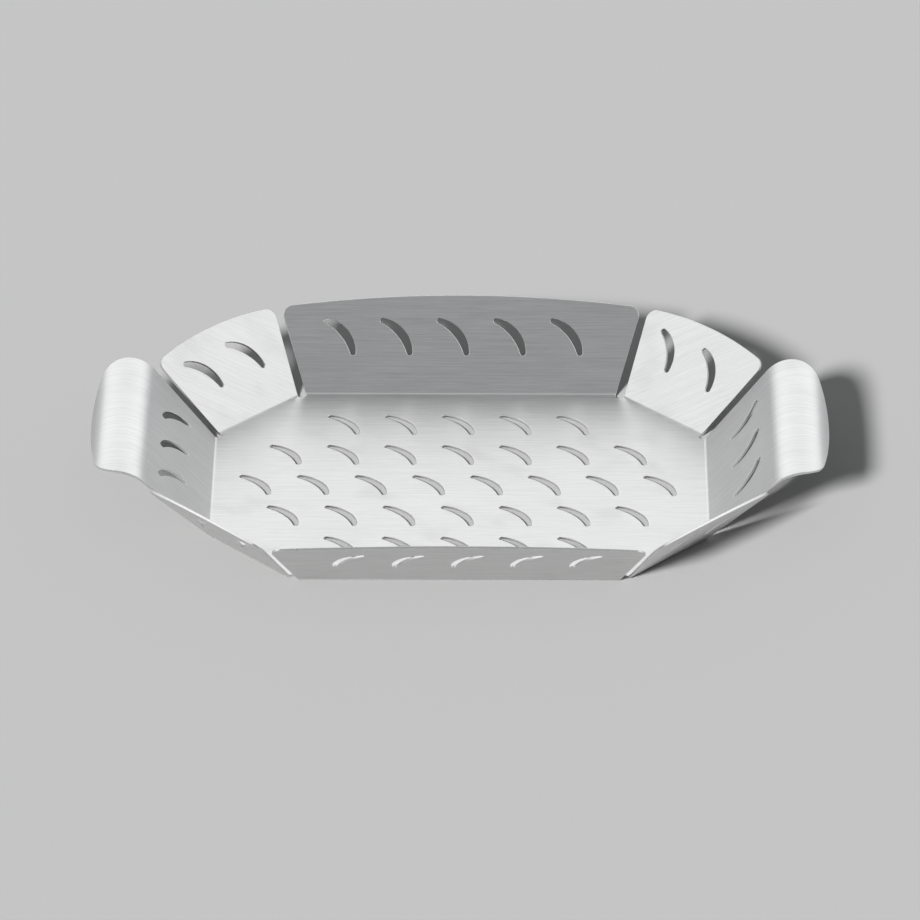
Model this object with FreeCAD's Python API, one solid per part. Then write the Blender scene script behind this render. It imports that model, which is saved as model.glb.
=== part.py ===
import FreeCAD, Part
import math
import os

# Small grill basket, folded from one sheet of stainless steel, in millimetres.
# Origin: middle of the floor's underside.  +X runs from handle to handle, +Y to the back, +Z up.
# The blank is an eight-sided floor with eight wings.  Each wing folds up and leans outwards, and
# the two end wings run on over their top into a rolled handle.  The wings touch only the floor:
# between them stand open, V-shaped gaps.  Each flat of the sheet is one solid with the bend that
# joins it to its neighbour, so the solids meet face to face.

Vector = FreeCAD.Vector

# ---- driving dimensions ----
sheet = 1.0                  # sheet thickness
bend_radius = 2.0            # inside radius of the bend between floor and walls
floor_half_length = 97.5     # floor centre to the end fold line
floor_half_depth = 72.5      # floor centre to the long fold line
corner_leg = 33.5            # the floor's corners are cut off at 45 degrees by this much
wall_rise = 27.0             # height of the walls' straight part above the ground
wall_lean = 42.5             # lean of every wall, degrees from upright
fold_relief = 2.2            # each fold stops this far short of the corner where two folds meet
corner_notch_radius = 1.6    # round notch at each of the floor's corners, between two folds

long_top_half_width = 72.4   # half width of the front and back walls at their top corners
corner_top_half_width = 32.0
end_top_half_width = 45.5    # the same for the end walls, where the handle begins
long_arch = 4.8              # how far the long walls' top edge rises in its middle
corner_arch = 3.6
top_corner_radius = 4.0      # rounding of the walls' free top corners

handle_radius = 15.0         # radius of the rolled handle, on its upper face
handle_turn_down = 51.0      # slope of the sheet at the handle's free edge, degrees below level
handle_half_width = 47.0     # half width of the handle at its outer corners
handle_nose = 7.0            # how far the free edge bows out in its middle
handle_corner_radius = 14.0  # rounding of the handle's two corners
handle_cut_tilt = 26.0       # the handle's outline is cut square to the sheet at this slope

slot_pitch = 22.7            # spacing of the slots along a row
slot_run = 12.0              # a slot's ends lie this far apart along the row
slot_drop = 15.0             # and this far apart down the wall
slot_bow = 2.4               # bow of a slot's middle line
slot_mid_width = 3.6
slot_end_width = 2.2
slot_row_height = 25.0       # middle of a row of slots, up the long and corner walls
slot_row_shift = -2.3        # the row sits this far off the middle, left as seen from inside
end_slot_row_height = 23.0   # the end walls' row is lower, to clear the handle, and centred
long_wall_slots = 5
corner_wall_slots = 2
end_wall_slots = 3
floor_row_pitch = 24.0       # spacing of the floor's rows of slots
floor_row_slots = [5, 7, 8, 7, 5]

margin = 8.0                 # cutting tools stand this far proud of the sheet

# ---- sizes that follow ----
rise_angle = math.radians(90.0 - wall_lean)        # slope of the walls above level
slope_length = wall_rise / math.sin(rise_angle)    # up the wall, from fold line to top corner
outer_bend = bend_radius + sheet
setback = outer_bend * math.tan(rise_angle / 2)    # from the bend's start to the fold line
long_fold_half = floor_half_length - corner_leg
end_fold_half = floor_half_depth - corner_leg
corner_fold_half = corner_leg / math.sqrt(2)


def closed_face(edges):
    return Part.Face(Part.Wire([edge.toShape() for edge in edges]))


def arc(start, middle, end):
    return Part.Arc(start, middle, end)


def line(start, end):
    return Part.LineSegment(start, end)


def slot_outline(u, v):
    """Crescent slot with round ends, middle at (u, v), running down to the right."""
    length = math.hypot(slot_run, slot_drop)
    along = Vector(slot_run / length, -slot_drop / length, 0)
    across = Vector(slot_drop / length, slot_run / length, 0)
    middle = Vector(u, v, 0)
    half = length / 2 - slot_end_width / 2
    end_half = slot_end_width / 2
    end_turn = 2 * math.atan(slot_bow / half)      # turn of the bowed middle line at its ends
    low = -slot_bow / 2

    def at(distance, offset):
        return middle + along * distance + across * offset

    def beside_end(side, forward, outward):
        """Point by the round end on that side, from its centre, turned with the middle line."""
        return at(side * (half + forward * math.cos(end_turn) + outward * math.sin(end_turn)),
                  low - forward * math.sin(end_turn) + outward * math.cos(end_turn))

    head_out, head_tip, head_in = (beside_end(-1, 0, end_half), beside_end(-1, end_half, 0),
                                   beside_end(-1, 0, -end_half))
    tail_out, tail_tip, tail_in = (beside_end(1, 0, end_half), beside_end(1, end_half, 0),
                                   beside_end(1, 0, -end_half))
    return closed_face([
        arc(head_out, at(0, low + slot_bow + slot_mid_width / 2), tail_out),
        arc(tail_out, tail_tip, tail_in),
        arc(tail_in, at(0, low + slot_bow - slot_mid_width / 2), head_in),
        arc(head_in, head_tip, head_out),
    ])


def slot_row(count, middle, v):
    """Slots side by side along a row, spaced evenly about its middle."""
    first = middle - slot_pitch * (count - 1) / 2
    return [slot_outline(first + slot_pitch * i, v) for i in range(count)]


def on_wall_plane(shape):
    """Lay a shape drawn in XY on the wall's outer face: Y runs up the slope, Z into the basket."""
    shape.rotate(Vector(0, 0, 0), Vector(1, 0, 0), math.degrees(rise_angle))
    return shape


def through_wall(face):
    """Prism through the wall sheet, square to it, from an outline on the wall's plane."""
    face.translate(Vector(0, 0, -margin))
    return on_wall_plane(face.extrude(Vector(0, 0, 2 * margin + sheet)))


def wall_strip(half_width):
    """Long strip with the wall's section: the bend up from the floor, then the straight slope."""
    cos_rise, sin_rise = math.cos(rise_angle), math.sin(rise_angle)
    length = slope_length + long_arch + margin
    centre = Vector(0, -setback, outer_bend)

    def on_bend(radius, angle):
        return centre + Vector(0, radius * math.sin(angle), -radius * math.cos(angle))

    up_slope = Vector(0, cos_rise, sin_rise) * length
    under, over = on_bend(outer_bend, rise_angle), on_bend(bend_radius, rise_angle)
    section = closed_face([
        arc(on_bend(outer_bend, 0), on_bend(outer_bend, rise_angle / 2), under),
        line(under, under + up_slope),
        line(under + up_slope, over + up_slope),
        line(over + up_slope, over),
        arc(over, on_bend(bend_radius, rise_angle / 2), on_bend(bend_radius, 0)),
        line(on_bend(bend_radius, 0), on_bend(outer_bend, 0)),
    ])
    section.translate(Vector(-half_width, 0, 0))
    return section.extrude(Vector(2 * half_width, 0, 0))


def wall_outline(fold_half, top_half, arch):
    """Prism with the wall's outline: tapered sides, and a straight or arched top edge."""
    low_half = fold_half - fold_relief
    taper = (top_half - low_half) / slope_length
    foot = -2 * setback                            # below the fold line, to take in the bend
    foot_half = low_half + taper * foot
    left_top, right_top = Vector(-top_half, slope_length, 0), Vector(top_half, slope_length, 0)
    left_foot, right_foot = Vector(-foot_half, foot, 0), Vector(foot_half, foot, 0)
    if arch:
        top = arc(left_top, Vector(0, slope_length + arch, 0), right_top)
    else:
        top = line(left_top, right_top)
    face = closed_face([line(left_foot, left_top), top, line(right_top, right_foot),
                        line(right_foot, left_foot)])
    prism = face.extrude(Vector(0, 0, 2 * margin + sheet))
    if arch:
        corners = [edge for edge in prism.Edges
                   if abs(edge.BoundBox.ZLength - prism.BoundBox.ZLength) < sheet / 2
                   and edge.BoundBox.YMin > 0]
        prism = prism.makeFillet(top_corner_radius, corners)
    prism.translate(Vector(0, 0, -margin))
    return on_wall_plane(prism)


def wall(fold_half, top_half, arch, slots):
    """One wall in its own frame: fold line along X, leaning towards +Y, inside of the basket at -Y."""
    body = wall_strip(top_half + margin).common(wall_outline(fold_half, top_half, arch))
    for outline in slots:
        body = body.cut(through_wall(outline))
    return body


def handle():
    """Rolled handle in the end wall's frame: it starts square on the wall's top edge."""
    inner_radius = handle_radius - sheet
    cos_rise, sin_rise = math.cos(rise_angle), math.sin(rise_angle)
    centre = Vector(0, slope_length * cos_rise + inner_radius * sin_rise,
                    slope_length * sin_rise - inner_radius * cos_rise)

    def on_roll(radius, angle):
        return centre + Vector(0, radius * math.sin(angle), radius * math.cos(angle))

    start, end = -rise_angle, math.radians(handle_turn_down)
    middle = (start + end) / 2
    section = closed_face([
        arc(on_roll(handle_radius, start), on_roll(handle_radius, middle),
            on_roll(handle_radius, end)),
        line(on_roll(handle_radius, end), on_roll(inner_radius, end)),
        arc(on_roll(inner_radius, end), on_roll(inner_radius, middle),
            on_roll(inner_radius, start)),
        line(on_roll(inner_radius, start), on_roll(handle_radius, start)),
    ])
    reach = handle_half_width + margin
    section.translate(Vector(-reach, 0, 0))
    roll = section.extrude(Vector(2 * reach, 0, 0))

    # The outline lies on a plane through the roll's axis, tilted down by handle_cut_tilt.
    tilt = math.radians(handle_cut_tilt)
    root = handle_radius * math.sin(start - tilt)
    nose = handle_radius * math.sin(end - tilt)
    shoulder = nose - handle_nose
    root_left, root_right = Vector(-end_top_half_width, root, 0), Vector(end_top_half_width, root, 0)
    tip_left, tip_right = Vector(-handle_half_width, shoulder, 0), Vector(handle_half_width, shoulder, 0)
    outline = closed_face([
        line(root_left, tip_left), arc(tip_left, Vector(0, nose, 0), tip_right),
        line(tip_right, root_right), line(root_right, root_left),
    ])
    prism = outline.extrude(Vector(0, 0, handle_radius + margin))
    corners = [edge for edge in prism.Edges
               if edge.BoundBox.ZLength > handle_radius and edge.BoundBox.YMin > shoulder - sheet]
    prism = prism.makeFillet(handle_corner_radius, corners)
    prism.rotate(Vector(0, 0, 0), Vector(1, 0, 0), -handle_cut_tilt)
    prism.translate(centre)
    return roll.common(prism)


def floor():
    """Flat eight-sided floor, up to where its eight bends begin, with rows of slots."""
    # The eight fold lines, all moved in by the setback, which shortens the corner leg too.
    half_x, half_y = floor_half_length - setback, floor_half_depth - setback
    leg = corner_leg - setback * (2 - math.sqrt(2))
    corners = [
        Vector(half_x - leg, -half_y, 0), Vector(half_x, -half_y + leg, 0),
        Vector(half_x, half_y - leg, 0), Vector(half_x - leg, half_y, 0),
        Vector(leg - half_x, half_y, 0), Vector(-half_x, half_y - leg, 0),
        Vector(-half_x, leg - half_y, 0), Vector(leg - half_x, -half_y, 0),
    ]
    plate = Part.Face(Part.makePolygon(corners + corners[:1])).extrude(Vector(0, 0, sheet))
    first_row = -floor_row_pitch * (len(floor_row_slots) - 1) / 2
    for row, count in enumerate(floor_row_slots):
        for outline in slot_row(count, 0, first_row + floor_row_pitch * row):
            outline.translate(Vector(0, 0, -margin))
            plate = plate.cut(outline.extrude(Vector(0, 0, 2 * margin)))
    notch = Part.makeCylinder(corner_notch_radius, 2 * margin, Vector(0, 0, -margin))
    for corner in corners:
        plate = plate.cut(notch.translated(corner))
    return plate


def fold_on(shape, x, y, turn):
    """Put a wall on its fold line: (x, y) is the line's middle, turn its heading from the back."""
    placed = shape.copy()
    placed.rotate(Vector(0, 0, 0), Vector(0, 0, 1), turn)
    placed.translate(Vector(x, y, 0))
    return placed


long_wall = wall(long_fold_half, long_top_half_width, long_arch,
                 slot_row(long_wall_slots, slot_row_shift, slot_row_height))
corner_wall = wall(corner_fold_half, corner_top_half_width, corner_arch,
                   slot_row(corner_wall_slots, slot_row_shift, slot_row_height))
end_wall = wall(end_fold_half, end_top_half_width, 0,
                slot_row(end_wall_slots, 0, end_slot_row_height))
rolled_handle = handle()
corner_x = floor_half_length - corner_leg / 2
corner_y = floor_half_depth - corner_leg / 2

nodes = {
    "floor": floor(),
    "back_wall": fold_on(long_wall, 0, floor_half_depth, 0),
    "front_wall": fold_on(long_wall, 0, -floor_half_depth, 180),
    "left_end_wall": fold_on(end_wall, -floor_half_length, 0, 90),
    "right_end_wall": fold_on(end_wall, floor_half_length, 0, -90),
    "back_left_corner_wall": fold_on(corner_wall, -corner_x, corner_y, 45),
    "back_right_corner_wall": fold_on(corner_wall, corner_x, corner_y, -45),
    "front_left_corner_wall": fold_on(corner_wall, -corner_x, -corner_y, 135),
    "front_right_corner_wall": fold_on(corner_wall, corner_x, -corner_y, -135),
    "left_handle": fold_on(rolled_handle, -floor_half_length, 0, 90),
    "right_handle": fold_on(rolled_handle, floor_half_length, 0, -90),
}

os.makedirs("parts", exist_ok=True)
for name, shape in nodes.items():
    shape.exportStep("parts/" + name + ".step")
    print(name, len(shape.Solids), "solid", round(shape.Volume), "mm3, valid", shape.isValid())
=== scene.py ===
import math
import bmesh
import bpy
import numpy as np
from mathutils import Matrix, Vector
from mathutils.geometry import delaunay_2d_cdt


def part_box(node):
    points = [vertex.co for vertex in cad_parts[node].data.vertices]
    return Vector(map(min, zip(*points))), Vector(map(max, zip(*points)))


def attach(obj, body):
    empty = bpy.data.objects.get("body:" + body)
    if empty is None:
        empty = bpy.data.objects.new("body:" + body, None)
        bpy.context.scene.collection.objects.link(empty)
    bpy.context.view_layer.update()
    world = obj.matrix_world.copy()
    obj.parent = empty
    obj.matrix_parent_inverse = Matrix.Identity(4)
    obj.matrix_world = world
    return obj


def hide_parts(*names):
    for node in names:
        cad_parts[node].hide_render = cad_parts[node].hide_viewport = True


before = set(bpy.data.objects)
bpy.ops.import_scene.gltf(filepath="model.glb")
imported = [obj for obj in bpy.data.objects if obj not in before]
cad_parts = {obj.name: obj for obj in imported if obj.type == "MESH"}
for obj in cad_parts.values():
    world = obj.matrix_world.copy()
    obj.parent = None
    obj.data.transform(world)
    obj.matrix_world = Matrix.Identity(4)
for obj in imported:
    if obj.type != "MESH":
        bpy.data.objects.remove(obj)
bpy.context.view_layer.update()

# Grill basket folded from one sheet of brushed stainless steel.  The outline of each CAD node is
# unfolded onto the flat blank, rebuilt there as a plate with its cut edges rounded over, and folded
# up again on the true arcs of its bend or roll.  Every point keeps its place on the blank, so that
# one brushed grain and one gentle waviness run on over all the folds.
# Metres throughout, in the CAD frame: +X from handle to handle, +Y to the back, +Z up.
MM = 0.001

# ---- the sheet and its folds ----
FLOOR_LOW, FLOOR_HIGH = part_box("floor")
SHEET = FLOOR_HIGH.z - FLOOR_LOW.z
BEND_RADIUS = 2.0 * MM                   # inside radius between floor and walls
OUTER_BEND = BEND_RADIUS + SHEET
RISE = math.radians(47.5)                # slope of every wall above level
ROLL_RADIUS = 15.0 * MM                  # upper face of the rolled handles
UNDER_ROLL = ROLL_RADIUS - SHEET
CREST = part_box("left_handle")[1].z       # top of the rolled handles
BEND_NEUTRAL = OUTER_BEND - SHEET / 2    # radii at mid-sheet, where the blank keeps its length
ROLL_NEUTRAL = ROLL_RADIUS - SHEET / 2
WALL_TURNS = {                           # heading of each wall about Z, from the back wall
    "back_wall": 0, "back_left_corner_wall": 45, "left_end_wall": 90, "front_left_corner_wall": 135,
    "front_wall": 180, "front_right_corner_wall": -135, "right_end_wall": -90,
    "back_right_corner_wall": -45,
}
HANDLE_TURNS = {"left_handle": 90, "right_handle": -90}

# ---- the mesh ----
WELD = 0.002 * MM
TOUCH = 0.02 * MM                        # points this near a joint line lie on it
FACING = 0.9                             # faces turned this far towards the skin are part of it
STRAIGHT_TURN = 0.01                     # outline points that turn less than this are left out
CORNER_TURN = math.radians(30)           # and those that turn more are real corners
BEND_ROWS = 12                           # rows of points round a bend
ROLL_ROW = 0.7 * MM                      # spacing of the rows round a roll,
ROLL_ROWS = 64                           # and more of them than the longest roll needs
UPPER_ROUND = 0.26 * MM                  # the punch rounds the cut edges over on its own side,
UNDER_ROUND = 0.14 * MM                  # and deburring breaks the edges on the other
ROUND_STEPS = 3
GRID = 6.0 * MM                          # spacing of the points that carry the waviness
GRID_CLEAR = 1.2 * MM                    # and how far they keep from the cut edges
SKIN, CUT_EDGE = 0, 1                    # material numbers of the pieces' faces
WAVE_HEIGHT = 0.035 * MM
WAVES = [                                # radians per mm along X and Y, and phase
    (0.115, 0.031, 0.4), (-0.047, 0.093, 2.1), (0.071, -0.083, 4.0),
]

# ---- the looks ----
# Noise scales are per millimetre: along the grain, across it and through the sheet.
FINE_GRAIN = (0.09, 4.2, 1.0)
GRAIN_STREAKS = (0.025, 1.7, 1.0)
CLOUDS = (0.03, 0.045, 1.0)
SMUDGES = (0.055, 0.07, 1.0)
SMUDGE_TURN = 30                         # degrees from the grain, as for the scratches
SCRATCHES, SCRATCH_TURN = (0.018, 2.4, 1.0), 23
CROSS_SCRATCHES, CROSS_SCRATCH_TURN = (0.03, 3.1, 1.0), -38
CUT_MARKS = (3.0, 3.0, 0.35)
CUT_CLOUDS = (0.25, 0.25, 0.6)
GRAIN_DARK, GRAIN_LIGHT = (0.60, 0.60, 0.60, 1), (0.78, 0.78, 0.775, 1)
SMUDGED = (0.56, 0.555, 0.54, 1)
CUT_DARK, CUT_LIGHT = (0.66, 0.66, 0.655, 1), (0.84, 0.84, 0.835, 1)
SKIN_RELIEF = 0.005 * MM
CUT_RELIEF = 0.01 * MM

# ---- the studio ----
BASKET_MIDDLE = Vector((0, 0, 0.015))
SOFTBOXES = {                            # place, width, height and radiance
    "back_softbox": ((0, 2.2, 1.3), 3.4, 1.4, 1.15),
    "low_back_softbox": ((0, 2.6, 0.48), 3.8, 0.5, 0.5),
    "left_softbox": ((-1.72, 0.1, 1.55), 1.8, 2.1, 0.97),
    "right_softbox": ((1.72, 0.1, 1.55), 1.8, 2.1, 0.97),
    "top_softbox": ((0, 0, 2.4), 1.3, 1.3, 0.35),
}
KEY_AZIMUTH = math.radians(-25)          # from straight in front, towards the right
KEY_ELEVATION = math.radians(30)
KEY_ANGLE = math.radians(9)              # the key light's apparent size
KEY_IRRADIANCE = 10.0
PAPER_HALF = 40.0
PAPER_COLOUR = (0.28, 0.28, 0.2785, 1)
AIR_COLOUR = (0.985, 1.0, 1.02, 1)
AIR_AT_HORIZON, AIR_OVERHEAD = 0.55, 0.37
AIR_LOW, AIR_HIGH = 0.02, 0.6            # heights on the unit sphere between which it changes
CAMERA_PLACE = Vector((0.015, -2.844, 1.634))
CAMERA_AIM = Vector((0, 0, 0.012))
CAMERA_LENS, CAMERA_SENSOR = 327.0, 36.0


def unit(angle):
    return np.array([math.cos(angle), math.sin(angle)])


class Fold:
    """One fold line of the blank, with the bend, the slope and perhaps the roll beyond it."""

    def __init__(self, turn, rolled=False):
        self.along = unit(math.radians(turn))
        self.outward = unit(math.radians(turn + 90))
        self.reach = (coordinates(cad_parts["floor"].data)[:, :2] @ self.outward).max()
        self.bend_length = RISE * BEND_NEUTRAL
        roll_z = CREST - ROLL_RADIUS
        setback = OUTER_BEND * math.tan(RISE / 2)
        slope = (roll_z + UNDER_ROLL * math.cos(RISE)) / math.sin(RISE)
        roll_out = slope * math.cos(RISE) + UNDER_ROLL * math.sin(RISE) + setback
        self.roll_centre = np.array([roll_out, roll_z])
        self.roll_start = slope - setback
        self.straight = self.roll_start if rolled else math.inf

    def unfold(self, points):
        """Places on the blank of points on the folded sheet."""
        across = points[:, :2] @ self.outward - self.reach
        inplane = np.column_stack([across, points[:, 2]])
        from_bend = inplane - [0, OUTER_BEND]
        from_roll = inplane - self.roll_centre
        up_slope = from_bend @ unit(RISE)
        run = np.arctan2(from_bend[:, 0], -from_bend[:, 1]) * BEND_NEUTRAL
        run = np.where(up_slope > 0, self.bend_length + up_slope, run)
        roll = np.arctan2(from_roll[:, 0], from_roll[:, 1]) + RISE
        rolled_run = self.bend_length + self.roll_start + roll * ROLL_NEUTRAL
        run = np.where(up_slope > self.straight, rolled_run, run)
        sideways = np.outer(points[:, :2] @ self.along, self.along)
        return sideways + np.outer(self.reach + run, self.outward)

    def slope_at(self, plan):
        """Angle turned in the bend, distance up the slope and angle turned in the roll."""
        run = plan @ self.outward - self.reach
        bend = np.clip(run / BEND_NEUTRAL, 0, RISE)
        up_slope = np.clip(run - self.bend_length, 0, self.straight)
        roll = np.clip((run - self.bend_length - self.straight) / ROLL_NEUTRAL, 0, None)
        return bend, up_slope, roll

    def fold_up(self, plan, depth):
        """Points of the folded sheet, depth being their height above its under skin."""
        bend, up_slope, roll = self.slope_at(plan)
        radius = OUTER_BEND - depth
        out = radius * np.sin(bend) + up_slope * math.cos(RISE)
        height = OUTER_BEND - radius * np.cos(bend) + up_slope * math.sin(RISE)
        roll_out = self.roll_centre[0] + (UNDER_ROLL + depth) * np.sin(roll - RISE)
        roll_height = self.roll_centre[1] + (UNDER_ROLL + depth) * np.cos(roll - RISE)
        out = np.where(roll > 0, roll_out, out) + self.reach
        height = np.where(roll > 0, roll_height, height)
        sideways = np.outer(plan @ self.along, self.along)
        return np.column_stack([sideways + np.outer(out, self.outward), height])

    def turn_up(self, plan, directions):
        """Directions on the flat blank, turned with the sheet at each place."""
        bend, _, roll = self.slope_at(plan)
        tilt = bend - roll
        outwards, upwards = directions[:, :2] @ self.outward, directions[:, 2]
        level = outwards * np.cos(tilt) - upwards * np.sin(tilt)
        height = outwards * np.sin(tilt) + upwards * np.cos(tilt)
        sideways = np.outer(directions[:, :2] @ self.along, self.along)
        return np.column_stack([sideways + np.outer(level, self.outward), height])

    def rows(self):
        """Distances from the blank's centre at which the folded sheet needs a row of points."""
        found = [self.reach + self.bend_length * i / BEND_ROWS for i in range(1, BEND_ROWS + 1)]
        if self.straight < math.inf:
            start = self.reach + self.bend_length + self.straight
            found += [start + ROLL_ROW * i for i in range(ROLL_ROWS)]
        return found

    def joint_lines(self):
        """Where the sheet runs on into the next piece: direction and distance of each line."""
        lines = [(self.outward, self.reach)]
        if self.straight < math.inf:
            lines.append((self.outward, self.reach + self.bend_length + self.straight))
        return lines


class Level:
    """The floor of the blank, which isn't folded."""

    def unfold(self, points):
        return points[:, :2]

    def fold_up(self, plan, depth):
        return np.column_stack([plan, depth])

    def turn_up(self, plan, directions):
        return directions

    def rows(self):
        return []

    def joint_lines(self):
        folds = [Fold(turn) for turn in WALL_TURNS.values()]
        return [(fold.outward, fold.reach) for fold in folds]


def coordinates(mesh):
    flat = np.empty(len(mesh.vertices) * 3, np.float32)
    mesh.vertices.foreach_get("co", flat)
    return flat.reshape(-1, 3).astype(float)


def outlines(node, fold):
    """Closed outlines of a node's upper skin on the blank, with the metal on their left."""
    bm = bmesh.new()
    bm.from_mesh(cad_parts[node].data)
    bmesh.ops.remove_doubles(bm, verts=bm.verts, dist=WELD)
    bm.verts.ensure_lookup_table()
    plan = fold.unfold(np.array([vert.co for vert in bm.verts]))
    following = {}
    for face in bm.faces:
        middle = np.mean(plan[[vert.index for vert in face.verts]], axis=0)
        skin = fold.turn_up(middle[None], np.array([[0.0, 0.0, 1.0]]))[0]
        if face.normal @ Vector(skin) > FACING:
            ring = [loop.vert.index for loop in face.loops]
            following.update({pair: True for pair in zip(ring, ring[1:] + ring[:1])})
    edges = {start: end for start, end in following if (end, start) not in following}
    loops = []
    while edges:
        start, _ = next(iter(edges.items()))
        ring = [start]
        while edges[ring[-1]] != start:
            ring.append(edges.pop(ring[-1]))
        edges.pop(ring[-1])
        loops.append(without_straight_points(plan[ring]))
    bm.free()
    return loops


def without_straight_points(ring):
    """The outline without the points at which it hardly turns."""
    before, after = ring - np.roll(ring, 1, 0), np.roll(ring, -1, 0) - ring
    turn = np.arctan2(cross(before, after), (before * after).sum(1))
    return ring[np.abs(turn) > STRAIGHT_TURN]


def cross(a, b):
    return a[..., 0] * b[..., 1] - a[..., 1] * b[..., 0]


def edge_profile():
    """Inset, depth and tilt of the normal, round the cut edge from the under skin to the upper."""
    quarter = [math.pi / 2 * i / ROUND_STEPS for i in range(ROUND_STEPS + 1)]
    under = [(UNDER_ROUND * (1 - math.cos(t)), UNDER_ROUND * (1 - math.sin(t)), -t)
             for t in quarter[::-1]]
    upper = [(UPPER_ROUND * (1 - math.cos(t)), SHEET - UPPER_ROUND * (1 - math.sin(t)), t)
             for t in quarter]
    return under + upper


class Plate:
    """Vertices, faces and face-corner normals of one piece, while it is flat."""

    def __init__(self):
        self.points, self.faces, self.normals, self.materials = [], [], [], []

    def add_edge(self, ring, joint_lines):
        """Build the cut edge along one outline.  Returns its vertices' numbers, row by row."""
        count = len(ring)
        step = np.roll(ring, -1, 0) - ring
        step /= np.linalg.norm(step, axis=1)[:, None]
        inward = np.column_stack([-step[:, 1], step[:, 0]])
        on_joint = np.zeros(count, bool)
        for direction, distance in joint_lines:
            near = np.abs(ring @ direction - distance) < TOUCH
            on_joint |= near & np.roll(near, -1)
        before = np.roll(inward, 1, 0)
        turn = np.arctan2(cross(before, inward), (before * inward).sum(1))
        is_corner = np.abs(turn) > CORNER_TURN
        smooth = before + inward
        smooth /= np.linalg.norm(smooth, axis=1)[:, None]
        moves = inset_moves(before, inward, smooth, on_joint)
        profile = edge_profile()
        first = len(self.points)
        for inset, depth, _ in profile:
            self.points += [(*(point + move * inset), depth) for point, move in zip(ring, moves)]
        for i in range(count):
            j = (i + 1) % count
            split_i = is_corner[i] or on_joint[i] or on_joint[i - 1]
            split_j = is_corner[j] or on_joint[i] or on_joint[j]
            outward_i = -(inward[i] if split_i else smooth[i])
            outward_j = -(inward[i] if split_j else smooth[j])
            for row in range(len(profile) - 1):
                low, high = first + row * count, first + (row + 1) * count
                self.faces.append((low + i, low + j, high + j, high + i))
                self.materials.append(CUT_EDGE)
                low_tilt, high_tilt = profile[row][2], profile[row + 1][2]
                if on_joint[i]:
                    low_tilt = high_tilt = 0.0
                self.normals.append([tilted(outward_i, low_tilt), tilted(outward_j, low_tilt),
                                     tilted(outward_j, high_tilt), tilted(outward_i, high_tilt)])
        return np.arange(first, len(self.points)).reshape(len(profile), count)

    def add_skins(self, rings):
        """Fill both skins between the innermost rows of all cut edges."""
        flat = np.array(self.points)[:, :2]
        under, upper = [ring[0] for ring in rings], [ring[-1] for ring in rings]
        corners = flat[np.concatenate(upper)]
        grid = grid_points([flat[ring] for ring in upper])
        constraints, start = [], 0
        for ring in upper:
            numbers = list(range(start, start + len(ring)))
            constraints += list(zip(numbers, numbers[1:] + numbers[:1]))
            start += len(ring)
        triangles = fill(np.vstack([corners, grid]), constraints, [flat[ring] for ring in upper])
        for numbers, depth, sign in ((under, 0.0, -1), (upper, SHEET, 1)):
            first = len(self.points)
            self.points += [(x, y, depth) for x, y in grid]
            number = list(np.concatenate(numbers)) + list(range(first, len(self.points)))
            for triangle in triangles:
                self.faces.append([number[k] for k in triangle[::sign]])
                self.materials.append(SKIN)
                self.normals.append([(0.0, 0.0, float(sign))] * 3)


def inset_moves(before, inward, smooth, on_joint):
    """How far each outline point moves for an inset of one: sides on a joint line stay put."""
    room = np.where(on_joint, 0.0, 1.0)
    before_room = np.roll(room, 1)
    bend = cross(before, inward)
    moves = np.empty(inward.shape)
    for i in range(len(inward)):
        if abs(bend[i]) > STRAIGHT_TURN / 2:
            moves[i] = np.linalg.solve([before[i], inward[i]], [before_room[i], room[i]])
        else:
            moves[i] = smooth[i] * min(before_room[i], room[i])
    return moves


def tilted(outward, tilt):
    """The outward direction, raised by an angle from the blank's plane."""
    return (*(outward * math.cos(tilt)), math.sin(tilt))


def inside(points, rings):
    """Even-odd test of points against closed outlines."""
    x, y = points[:, 0], points[:, 1]
    hits = np.zeros(len(points), int)
    for ring in rings:
        for (ax, ay), (bx, by) in zip(ring, np.roll(ring, -1, 0)):
            spans = (y > ay) != (y > by)
            if spans.any():
                hits += spans & (x < ax + (y - ay) / (by - ay) * (bx - ax))
    return hits % 2 == 1


def grid_points(rings):
    """Evenly spaced points between closed outlines, clear of their edges."""
    every = np.concatenate(rings)
    low, high = every.min(0), every.max(0)
    xs, ys = (np.arange(math.ceil(low[k] / GRID), high[k] / GRID) * GRID for k in (0, 1))
    points = np.array([(x, y) for x in xs for y in ys])
    points = points[inside(points, rings)]
    near = np.array([min(distance_to_ring(point, ring) for ring in rings) for point in points])
    return points[near > GRID_CLEAR]


def distance_to_ring(point, ring):
    side = np.roll(ring, -1, 0) - ring
    share = np.clip(((point - ring) * side).sum(1) / (side * side).sum(1), 0, 1)
    return np.linalg.norm(ring + side * share[:, None] - point, axis=1).min()


def fill(points, constraints, rings):
    """Triangles over the points, inside the outlines only."""
    flat, _, triangles, numbers, _, _ = delaunay_2d_cdt(
        [Vector(point) for point in points], constraints, [], 0, WELD / 10, True)
    middles = np.array([np.mean([flat[k] for k in triangle], axis=0) for triangle in triangles])
    kept = inside(middles, rings)
    return [[numbers[k][0] for k in triangle] for triangle, keep in zip(triangles, kept) if keep]


def waviness(plan):
    """Gentle waves of the thin sheet: their height, which is never below zero, and their slope."""
    height, slope = np.full(len(plan), float(len(WAVES))), np.zeros((len(plan), 2))
    for wave_x, wave_y, phase in WAVES:
        wave = np.array([wave_x, wave_y]) / MM
        angle = plan @ wave + phase
        height += np.sin(angle)
        slope += np.cos(angle)[:, None] * wave
    return height * WAVE_HEIGHT / 2, slope * WAVE_HEIGHT / 2


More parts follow.
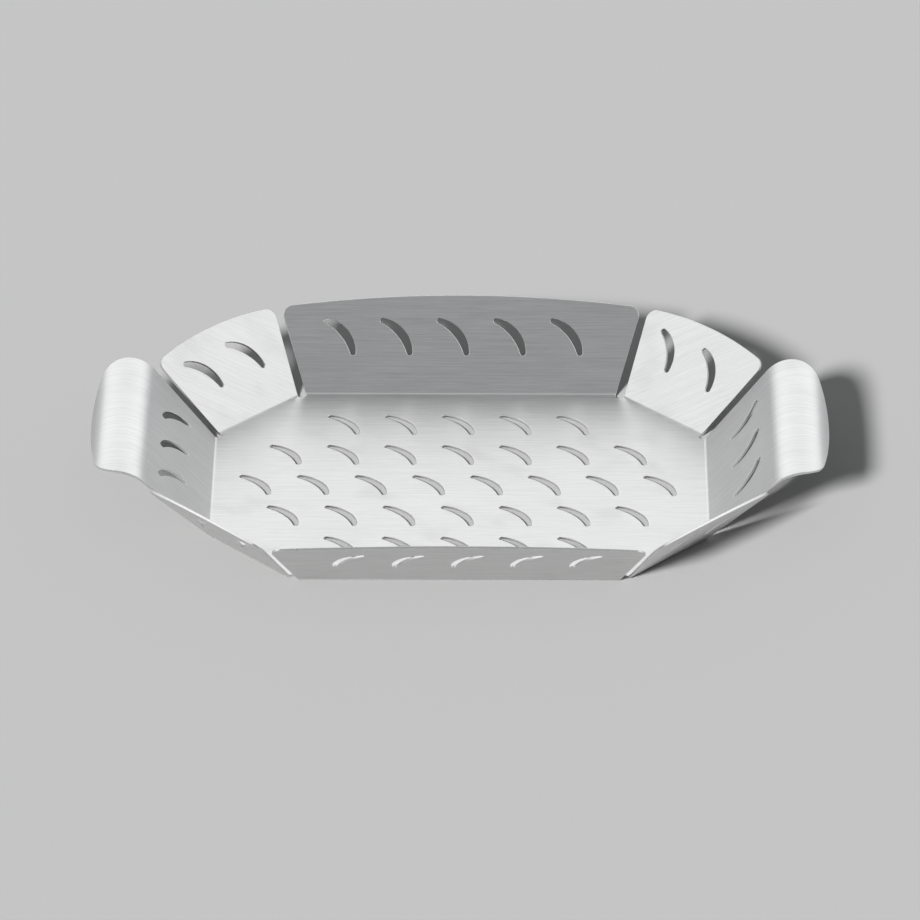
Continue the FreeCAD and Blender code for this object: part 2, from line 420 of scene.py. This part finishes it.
def flat_mesh(node, fold):
    """The node's plate on the blank, with rows of points where it will be folded or rolled."""
    plate = Plate()
    lines = fold.joint_lines()
    plate.add_skins([plate.add_edge(ring, lines) for ring in outlines(node, fold)])
    mesh = bpy.data.meshes.new(node + "_sheet")
    mesh.from_pydata(plate.points, [], plate.faces)
    mesh.polygons.foreach_set("material_index", plate.materials)
    flat_normals = mesh.attributes.new("flat_normal", "FLOAT_VECTOR", "CORNER")
    flat_normals.data.foreach_set("vector", np.concatenate(plate.normals).astype(np.float32).ravel())
    bm = bmesh.new()
    bm.from_mesh(mesh)
    for distance in fold.rows():
        bmesh.ops.bisect_plane(bm, geom=bm.verts[:] + bm.edges[:] + bm.faces[:], dist=WELD,
                               plane_co=(*(fold.outward * distance), 0), plane_no=(*fold.outward, 0))
    bm.to_mesh(mesh)
    bm.free()
    return mesh


def fold_mesh(mesh, fold, place, corner_vertices):
    """Fold up a flat mesh with its normals; place is where its points are on the blank."""
    plan, depth = place[:, :2], place[:, 2]
    lift, slope = waviness(plan)
    normals = np.empty(len(mesh.loops) * 3, np.float32)
    mesh.attributes["flat_normal"].data.foreach_get("vector", normals)
    normals = normals.reshape(-1, 3).astype(float)
    normals[:, :2] -= normals[:, 2:] * slope[corner_vertices]
    normals = fold.turn_up(plan[corner_vertices], normals)
    normals /= np.linalg.norm(normals, axis=1)[:, None]
    mesh.attributes.remove(mesh.attributes["flat_normal"])
    mesh.vertices.foreach_set("co", fold.fold_up(plan, depth + lift).astype(np.float32).ravel())
    mesh.shade_smooth()
    mesh.update()
    mesh.normals_split_custom_set([tuple(normal) for normal in normals])


def make_piece(node, fold):
    """Build the visible piece of a node, which rides on the root and replaces it."""
    mesh = flat_mesh(node, fold)
    place = coordinates(mesh)
    corner_vertices = np.empty(len(mesh.loops), np.int32)
    mesh.loops.foreach_get("vertex_index", corner_vertices)
    fold_mesh(mesh, fold, place, corner_vertices)

    blank = mesh.attributes.new("blank", "FLOAT_VECTOR", "POINT")
    blank.data.foreach_set("vector", place.astype(np.float32).ravel())
    grain = mesh.uv_layers.new(name="blank_plan")
    grain.data.foreach_set("uv", place[corner_vertices, :2].astype(np.float32).ravel())
    piece = bpy.data.objects.new(node + "_sheet", mesh)
    bpy.context.scene.collection.objects.link(piece)
    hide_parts(node)
    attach(piece, "root")
    return piece


pieces = [make_piece("floor", Level())]
for node, turn in {**WALL_TURNS, **HANDLE_TURNS}.items():
    rolled = abs(turn) == 90
    pieces.append(make_piece(node, Fold(turn, rolled)))


# ---- materials ----
class Nodes:
    """Short ways to add and join the nodes of one material."""

    def __init__(self, name):
        self.material = bpy.data.materials.new(name)
        self.material.use_nodes = True
        self.tree = self.material.node_tree
        self.shader = self.tree.nodes["Principled BSDF"]

    def add(self, kind, inputs=(), **settings):
        node = self.tree.nodes.new(kind)
        for key, value in settings.items():
            setattr(node, key, value)
        for key, value in dict(inputs).items():
            self.put(node.inputs[key], value)
        return node

    def put(self, socket, value):
        if isinstance(value, bpy.types.NodeSocket):
            self.tree.links.new(value, socket)
        else:
            socket.default_value = value

    def maths(self, operation, first, second, third=0.0):
        values = {0: first, 1: second, 2: third}
        return self.add("ShaderNodeMath", values, operation=operation).outputs[0]

    def vector_maths(self, operation, values):
        return self.add("ShaderNodeVectorMath", values, operation=operation).outputs[0]

    def blank_mm(self):
        """Place on the flat blank, in millimetres."""
        place = self.add("ShaderNodeAttribute", attribute_name="blank").outputs["Vector"]
        return self.vector_maths("SCALE", {0: place, "Scale": 1 / MM})

    def noise(self, place, scale, detail=2.0, turn=0.0, rough=0.5):
        """Noise from 0 to 1, stretched by a scale per millimetre along each axis of the blank."""
        turned = self.add("ShaderNodeVectorRotate", {"Vector": place, "Angle": math.radians(turn)},
                          rotation_type="Z_AXIS").outputs[0]
        scaled = self.vector_maths("MULTIPLY", {0: turned, 1: scale})
        return self.add("ShaderNodeTexNoise", {"Vector": scaled, "Scale": 1.0, "Detail": detail,
                                               "Roughness": rough}).outputs["Fac"]

    def ramp(self, value, low, high):
        """0 below low, 1 above high, smooth between."""
        return self.add("ShaderNodeMapRange", {"Value": value, "From Min": low, "From Max": high},
                        interpolation_type="SMOOTHSTEP").outputs["Result"]

    def mixed(self, share, first, second):
        """Colour from first to second by share; 6 and 7 are a Mix node's colour sockets."""
        values = {"Factor": share, 6: first, 7: second}
        return self.add("ShaderNodeMix", values, data_type="RGBA").outputs[2]


def brushed_steel():
    """Stainless sheet: fine brushed grain along the blank, a few scratches and faint smudges."""
    n = Nodes("brushed_stainless")
    place = n.blank_mm()
    fine = n.noise(place, FINE_GRAIN, detail=3.0, rough=0.7)
    streaks = n.noise(place, GRAIN_STREAKS, detail=2.0)
    clouds = n.noise(place, CLOUDS, detail=3.0)
    smudges = n.ramp(n.noise(place, SMUDGES, detail=4.0, turn=SMUDGE_TURN), 0.52, 0.72)
    scratches = n.maths(
        "MAXIMUM",
        n.ramp(n.noise(place, SCRATCHES, detail=0.0, turn=SCRATCH_TURN), 0.80, 0.86),
        n.ramp(n.noise(place, CROSS_SCRATCHES, detail=0.0, turn=CROSS_SCRATCH_TURN), 0.83, 0.88))

    tone = n.maths("MULTIPLY", n.ramp(fine, 0.3, 0.7), 0.55)
    tone = n.maths("MULTIPLY_ADD", n.ramp(streaks, 0.3, 0.7), 0.45, tone)
    colour = n.mixed(tone, GRAIN_DARK, GRAIN_LIGHT)
    colour = n.mixed(n.maths("MULTIPLY", smudges, 0.10), colour, SMUDGED)
    n.put(n.shader.inputs["Base Color"], colour)

    rough = n.maths("MULTIPLY_ADD", fine, 0.12, 0.20)
    rough = n.maths("MULTIPLY_ADD", streaks, 0.10, rough)
    rough = n.maths("MULTIPLY_ADD", clouds, 0.04, rough)
    rough = n.maths("MULTIPLY_ADD", smudges, 0.03, rough)
    rough = n.maths("MULTIPLY_ADD", scratches, 0.12, rough)
    n.put(n.shader.inputs["Roughness"], rough)

    relief = n.maths("MULTIPLY_ADD", streaks, 1.8, fine)
    relief = n.maths("MULTIPLY_ADD", scratches, -1.2, relief)
    grain = n.add("ShaderNodeBump", {"Height": relief, "Strength": 0.8, "Distance": SKIN_RELIEF})
    n.put(n.shader.inputs["Normal"], grain.outputs["Normal"])

    n.shader.inputs["Metallic"].default_value = 1.0
    n.shader.inputs["Anisotropic"].default_value = 0.6
    n.shader.inputs["Anisotropic Rotation"].default_value = 0.25
    tangent = n.add("ShaderNodeTangent", direction_type="UV_MAP", uv_map="blank_plan")
    n.put(n.shader.inputs["Tangent"], tangent.outputs["Tangent"])
    return n.material


def cut_steel():
    """The sheet's cut edges: sheared steel, deburred, with fine marks across its thickness."""
    n = Nodes("cut_stainless")
    place = n.blank_mm()
    marks = n.noise(place, CUT_MARKS, detail=2.0)
    clouds = n.noise(place, CUT_CLOUDS, detail=2.0)
    n.put(n.shader.inputs["Base Color"], n.mixed(marks, CUT_DARK, CUT_LIGHT))
    rough = n.maths("MULTIPLY_ADD", marks, 0.16, 0.18)
    n.put(n.shader.inputs["Roughness"], n.maths("MULTIPLY_ADD", clouds, 0.10, rough))
    relief = n.add("ShaderNodeBump", {"Height": marks, "Strength": 0.6, "Distance": CUT_RELIEF})
    n.put(n.shader.inputs["Normal"], relief.outputs["Normal"])
    n.shader.inputs["Metallic"].default_value = 1.0
    return n.material


materials = {SKIN: brushed_steel(), CUT_EDGE: cut_steel()}
for piece in pieces:
    for number in sorted(materials):
        piece.data.materials.append(materials[number])


# ---- lights, floor and camera ----
def softbox(name, place, width, height, radiance):
    """A rectangular light that the steel mirrors."""
    data = bpy.data.lights.new(name, "AREA")
    data.shape = "RECTANGLE"
    data.size, data.size_y = width, height
    data.energy = radiance * math.pi * width * height
    light = add_light(name, data, Vector(place) - BASKET_MIDDLE)
    light.location = place
    light.visible_diffuse = False


def key_light():
    """A broad, distant light that shades the paper evenly and leaves no glare on the steel."""
    data = bpy.data.lights.new("key_light", "SUN")
    data.energy = KEY_IRRADIANCE
    data.angle = KEY_ANGLE
    level = math.cos(KEY_ELEVATION)
    towards_light = Vector((level * math.sin(KEY_AZIMUTH), -level * math.cos(KEY_AZIMUTH),
                            math.sin(KEY_ELEVATION)))
    light = add_light("key_light", data, towards_light)
    light.visible_glossy = False


def add_light(name, data, towards_light):
    """Put a light in the scene, turned to shine from that direction and unseen by the camera."""
    light = bpy.data.objects.new(name, data)
    light.rotation_euler = towards_light.to_track_quat("Z", "Y").to_euler()
    light.visible_camera = False
    bpy.context.scene.collection.objects.link(light)
    return light


def studio_floor():
    """Pale, matt paper out to the horizon."""
    half = PAPER_HALF
    plane = bpy.data.meshes.new("studio_floor")
    plane.from_pydata([(-half, -half, 0), (half, -half, 0), (half, half, 0), (-half, half, 0)], [],
                      [(0, 1, 2, 3)])
    paper = bpy.data.materials.new("studio_paper")
    paper.use_nodes = True
    shader = paper.node_tree.nodes["Principled BSDF"]
    shader.inputs["Base Color"].default_value = PAPER_COLOUR
    shader.inputs["Roughness"].default_value = 0.9
    shader.inputs["Specular IOR Level"].default_value = 0.1
    plane.materials.append(paper)
    ground = bpy.data.objects.new("studio_floor", plane)
    bpy.context.scene.collection.objects.link(ground)


def studio_air():
    """Soft light from all round, brighter near the horizon."""
    world = bpy.data.worlds.new("studio_air")
    world.use_nodes = True
    tree = world.node_tree
    place = tree.nodes.new("ShaderNodeTexCoord")
    split = tree.nodes.new("ShaderNodeSeparateXYZ")
    strength = tree.nodes.new("ShaderNodeMapRange")
    strength.interpolation_type = "SMOOTHSTEP"
    strength.inputs["From Min"].default_value = AIR_LOW
    strength.inputs["From Max"].default_value = AIR_HIGH
    strength.inputs["To Min"].default_value = AIR_AT_HORIZON
    strength.inputs["To Max"].default_value = AIR_OVERHEAD
    background = tree.nodes["Background"]
    tree.links.new(place.outputs["Generated"], split.inputs["Vector"])
    tree.links.new(split.outputs["Z"], strength.inputs["Value"])
    tree.links.new(strength.outputs["Result"], background.inputs["Strength"])
    background.inputs["Color"].default_value = AIR_COLOUR
    bpy.context.scene.world = world


def studio():
    studio_floor()
    studio_air()
    for name, (place, width, height, radiance) in SOFTBOXES.items():
        softbox(name, place, width, height, radiance)
    key_light()


def camera():
    data = bpy.data.cameras.new("photo_view")
    data.lens = CAMERA_LENS
    data.sensor_width = CAMERA_SENSOR
    eye = bpy.data.objects.new("photo_view", data)
    eye.location = CAMERA_PLACE
    eye.rotation_euler = (CAMERA_AIM - CAMERA_PLACE).to_track_quat("-Z", "Y").to_euler()
    bpy.context.scene.collection.objects.link(eye)
    bpy.context.scene.camera = eye
    bpy.context.scene.view_settings.view_transform = "Standard"


studio()
camera()
